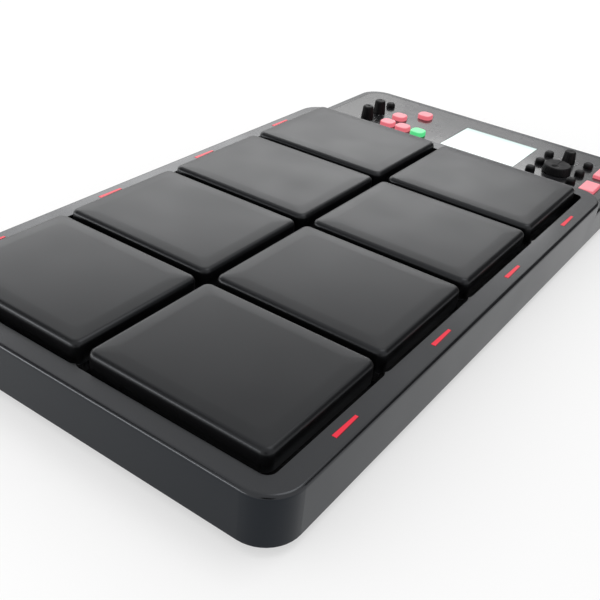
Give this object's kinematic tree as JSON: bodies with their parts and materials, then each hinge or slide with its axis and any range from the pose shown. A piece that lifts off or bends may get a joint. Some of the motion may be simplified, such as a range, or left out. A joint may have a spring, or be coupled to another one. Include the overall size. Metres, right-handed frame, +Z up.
{
  "type": "electronic percussion pad",
  "caption": "Flat electronic percussion instrument with rubber pads in a raised frame, side lamps and a rear control panel with a display, knobs, a dial and lit buttons.",
  "frame": {"origin": "on the table under the middle of the case", "axes": "+X to the player's right, +Y to the back with the control panel, +Z up"},
  "size_m": [0.2916, 0.5638, 0.0488],
  "materials": {
    "case_abs": "fine moulded grain, satin",
    "panel_abs": "smooth satin",
    "pad_rubber": "matte, finely grained",
    "black_abs": "satin",
    "red_lens": "translucent, lit from behind",
    "green_lens": "translucent, lit from behind",
    "display_glass": "clear, polished",
    "display_module": "evenly lit, pale",
    "plate_steel": "plain, plated",
    "foam": "open foam",
    "circuit_board": "green lacquer",
    "switch_plastic": "moulded",
    "cable_grey": "soft, smooth",
    "sensor_brass": "plain, machined",
    "foot_rubber": "matte"
  },
  "bodies": {
    "case": {"top_case": "case_abs", "control_panel": "panel_abs", "pad_1": "pad_rubber", "pad_2": "pad_rubber", "pad_3": "pad_rubber", "pad_4": "pad_rubber", "pad_5": "pad_rubber", "pad_6": "pad_rubber", "pad_7": "pad_rubber", "pad_8": "pad_rubber", "bottom_cover": "black_abs", "socket_plate": "black_abs", "pad_lamps": "red_lens", "lcd_window": "display_glass", "lcd_module": "display_module", "pad_plates": "plate_steel", "case_screws": "plate_steel", "data_socket": "plate_steel", "socket_nuts": "plate_steel", "pad_cushions": "foam", "main_board": "circuit_board", "panel_board": "circuit_board", "jack_board": "circuit_board", "lamp_boards": "circuit_board", "tact_switches": "switch_plastic", "potentiometers": "switch_plastic", "encoder": "switch_plastic", "phone_sockets": "switch_plastic", "power_inlet": "switch_plastic", "power_switch": "switch_plastic", "ribbon_cable": "cable_grey", "piezo_sensors": "sensor_brass", "stand_inserts": "sensor_brass", "feet": "foot_rubber"},
    "volume_1": {"volume_knob_1": "black_abs", "volume_shaft_1": "plate_steel"},
    "volume_2": {"volume_knob_2": "black_abs", "volume_shaft_2": "plate_steel"},
    "level": {"level_knob": "black_abs", "level_shaft": "plate_steel"},
    "dial": {"value_dial": "black_abs", "dial_shaft": "plate_steel"},
    "loop_button_1": {"loop_button_1": "red_lens"},
    "loop_button_2": {"loop_button_2": "red_lens"},
    "loop_button_3": {"loop_button_3": "red_lens"},
    "loop_button_4": {"loop_button_4": "red_lens"},
    "play_button": {"play_button": "green_lens"},
    "click_button": {"click_button": "black_abs"},
    "function_button_1": {"function_button_1": "black_abs"},
    "function_button_2": {"function_button_2": "black_abs"},
    "function_button_3": {"function_button_3": "black_abs"},
    "menu_button_1": {"menu_button_1": "black_abs"},
    "menu_button_2": {"menu_button_2": "black_abs"},
    "menu_button_3": {"menu_button_3": "black_abs"},
    "mode_button_1": {"mode_button_1": "red_lens"},
    "mode_button_2": {"mode_button_2": "red_lens"},
    "power_button": {"power_button": "black_abs"}
  },
  "joints": [
    {"name": "volume_1_turn", "type": "hinge", "parent": "case", "child": "volume_1", "pos_m": [-0.1015, 0.19795, 0.0305], "axis": [0, 0, 1], "range_deg": [-150, 150]},
    {"name": "volume_2_turn", "type": "hinge", "parent": "case", "child": "volume_2", "pos_m": [-0.1015, 0.22095, 0.0305], "axis": [0, 0, 1], "range_deg": [-150, 150]},
    {"name": "level_turn", "type": "hinge", "parent": "case", "child": "level", "pos_m": [0.08785, 0.24395, 0.0305], "axis": [0, 0, 1], "range_deg": [-150, 150]},
    {"name": "dial_turn", "type": "hinge", "parent": "case", "child": "dial", "pos_m": [0.08785, 0.21295, 0.0305], "axis": [0, 0, 1], "continuous": true},
    {"name": "loop_button_1_press", "type": "slide", "parent": "case", "child": "loop_button_1", "axis": [0, 0, -1], "range_m": [0, 0.001], "stiffness_N_per_m": 400, "springref_m": -0.0003},
    {"name": "loop_button_2_press", "type": "slide", "parent": "case", "child": "loop_button_2", "axis": [0, 0, -1], "range_m": [0, 0.001], "stiffness_N_per_m": 400, "springref_m": -0.0003},
    {"name": "loop_button_3_press", "type": "slide", "parent": "case", "child": "loop_button_3", "axis": [0, 0, -1], "range_m": [0, 0.001], "stiffness_N_per_m": 400, "springref_m": -0.0003},
    {"name": "loop_button_4_press", "type": "slide", "parent": "case", "child": "loop_button_4", "axis": [0, 0, -1], "range_m": [0, 0.001], "stiffness_N_per_m": 400, "springref_m": -0.0003},
    {"name": "play_button_press", "type": "slide", "parent": "case", "child": "play_button", "axis": [0, 0, -1], "range_m": [0, 0.001], "stiffness_N_per_m": 400, "springref_m": -0.0003},
    {"name": "click_button_press", "type": "slide", "parent": "case", "child": "click_button", "axis": [0, 0, -1], "range_m": [0, 0.001], "stiffness_N_per_m": 400, "springref_m": -0.0003},
    {"name": "function_button_1_press", "type": "slide", "parent": "case", "child": "function_button_1", "axis": [0, 0, -1], "range_m": [0, 0.001], "stiffness_N_per_m": 400, "springref_m": -0.0003},
    {"name": "function_button_2_press", "type": "slide", "parent": "case", "child": "function_button_2", "axis": [0, 0, -1], "range_m": [0, 0.001], "stiffness_N_per_m": 400, "springref_m": -0.0003},
    {"name": "function_button_3_press", "type": "slide", "parent": "case", "child": "function_button_3", "axis": [0, 0, -1], "range_m": [0, 0.001], "stiffness_N_per_m": 400, "springref_m": -0.0003},
    {"name": "menu_button_1_press", "type": "slide", "parent": "case", "child": "menu_button_1", "axis": [0, 0, -1], "range_m": [0, 0.001], "stiffness_N_per_m": 400, "springref_m": -0.0003},
    {"name": "menu_button_2_press", "type": "slide", "parent": "case", "child": "menu_button_2", "axis": [0, 0, -1], "range_m": [0, 0.001], "stiffness_N_per_m": 400, "springref_m": -0.0003},
    {"name": "menu_button_3_press", "type": "slide", "parent": "case", "child": "menu_button_3", "axis": [0, 0, -1], "range_m": [0, 0.001], "stiffness_N_per_m": 400, "springref_m": -0.0003},
    {"name": "mode_button_1_press", "type": "slide", "parent": "case", "child": "mode_button_1", "axis": [0, 0, -1], "range_m": [0, 0.001], "stiffness_N_per_m": 400, "springref_m": -0.0003},
    {"name": "mode_button_2_press", "type": "slide", "parent": "case", "child": "mode_button_2", "axis": [0, 0, -1], "range_m": [0, 0.001], "stiffness_N_per_m": 400, "springref_m": -0.0003},
    {"name": "power_button_press", "type": "slide", "parent": "case", "child": "power_button", "axis": [0, -1, 0], "range_m": [0, 0.002], "stiffness_N_per_m": 300, "springref_m": -0.0005}
  ]
}
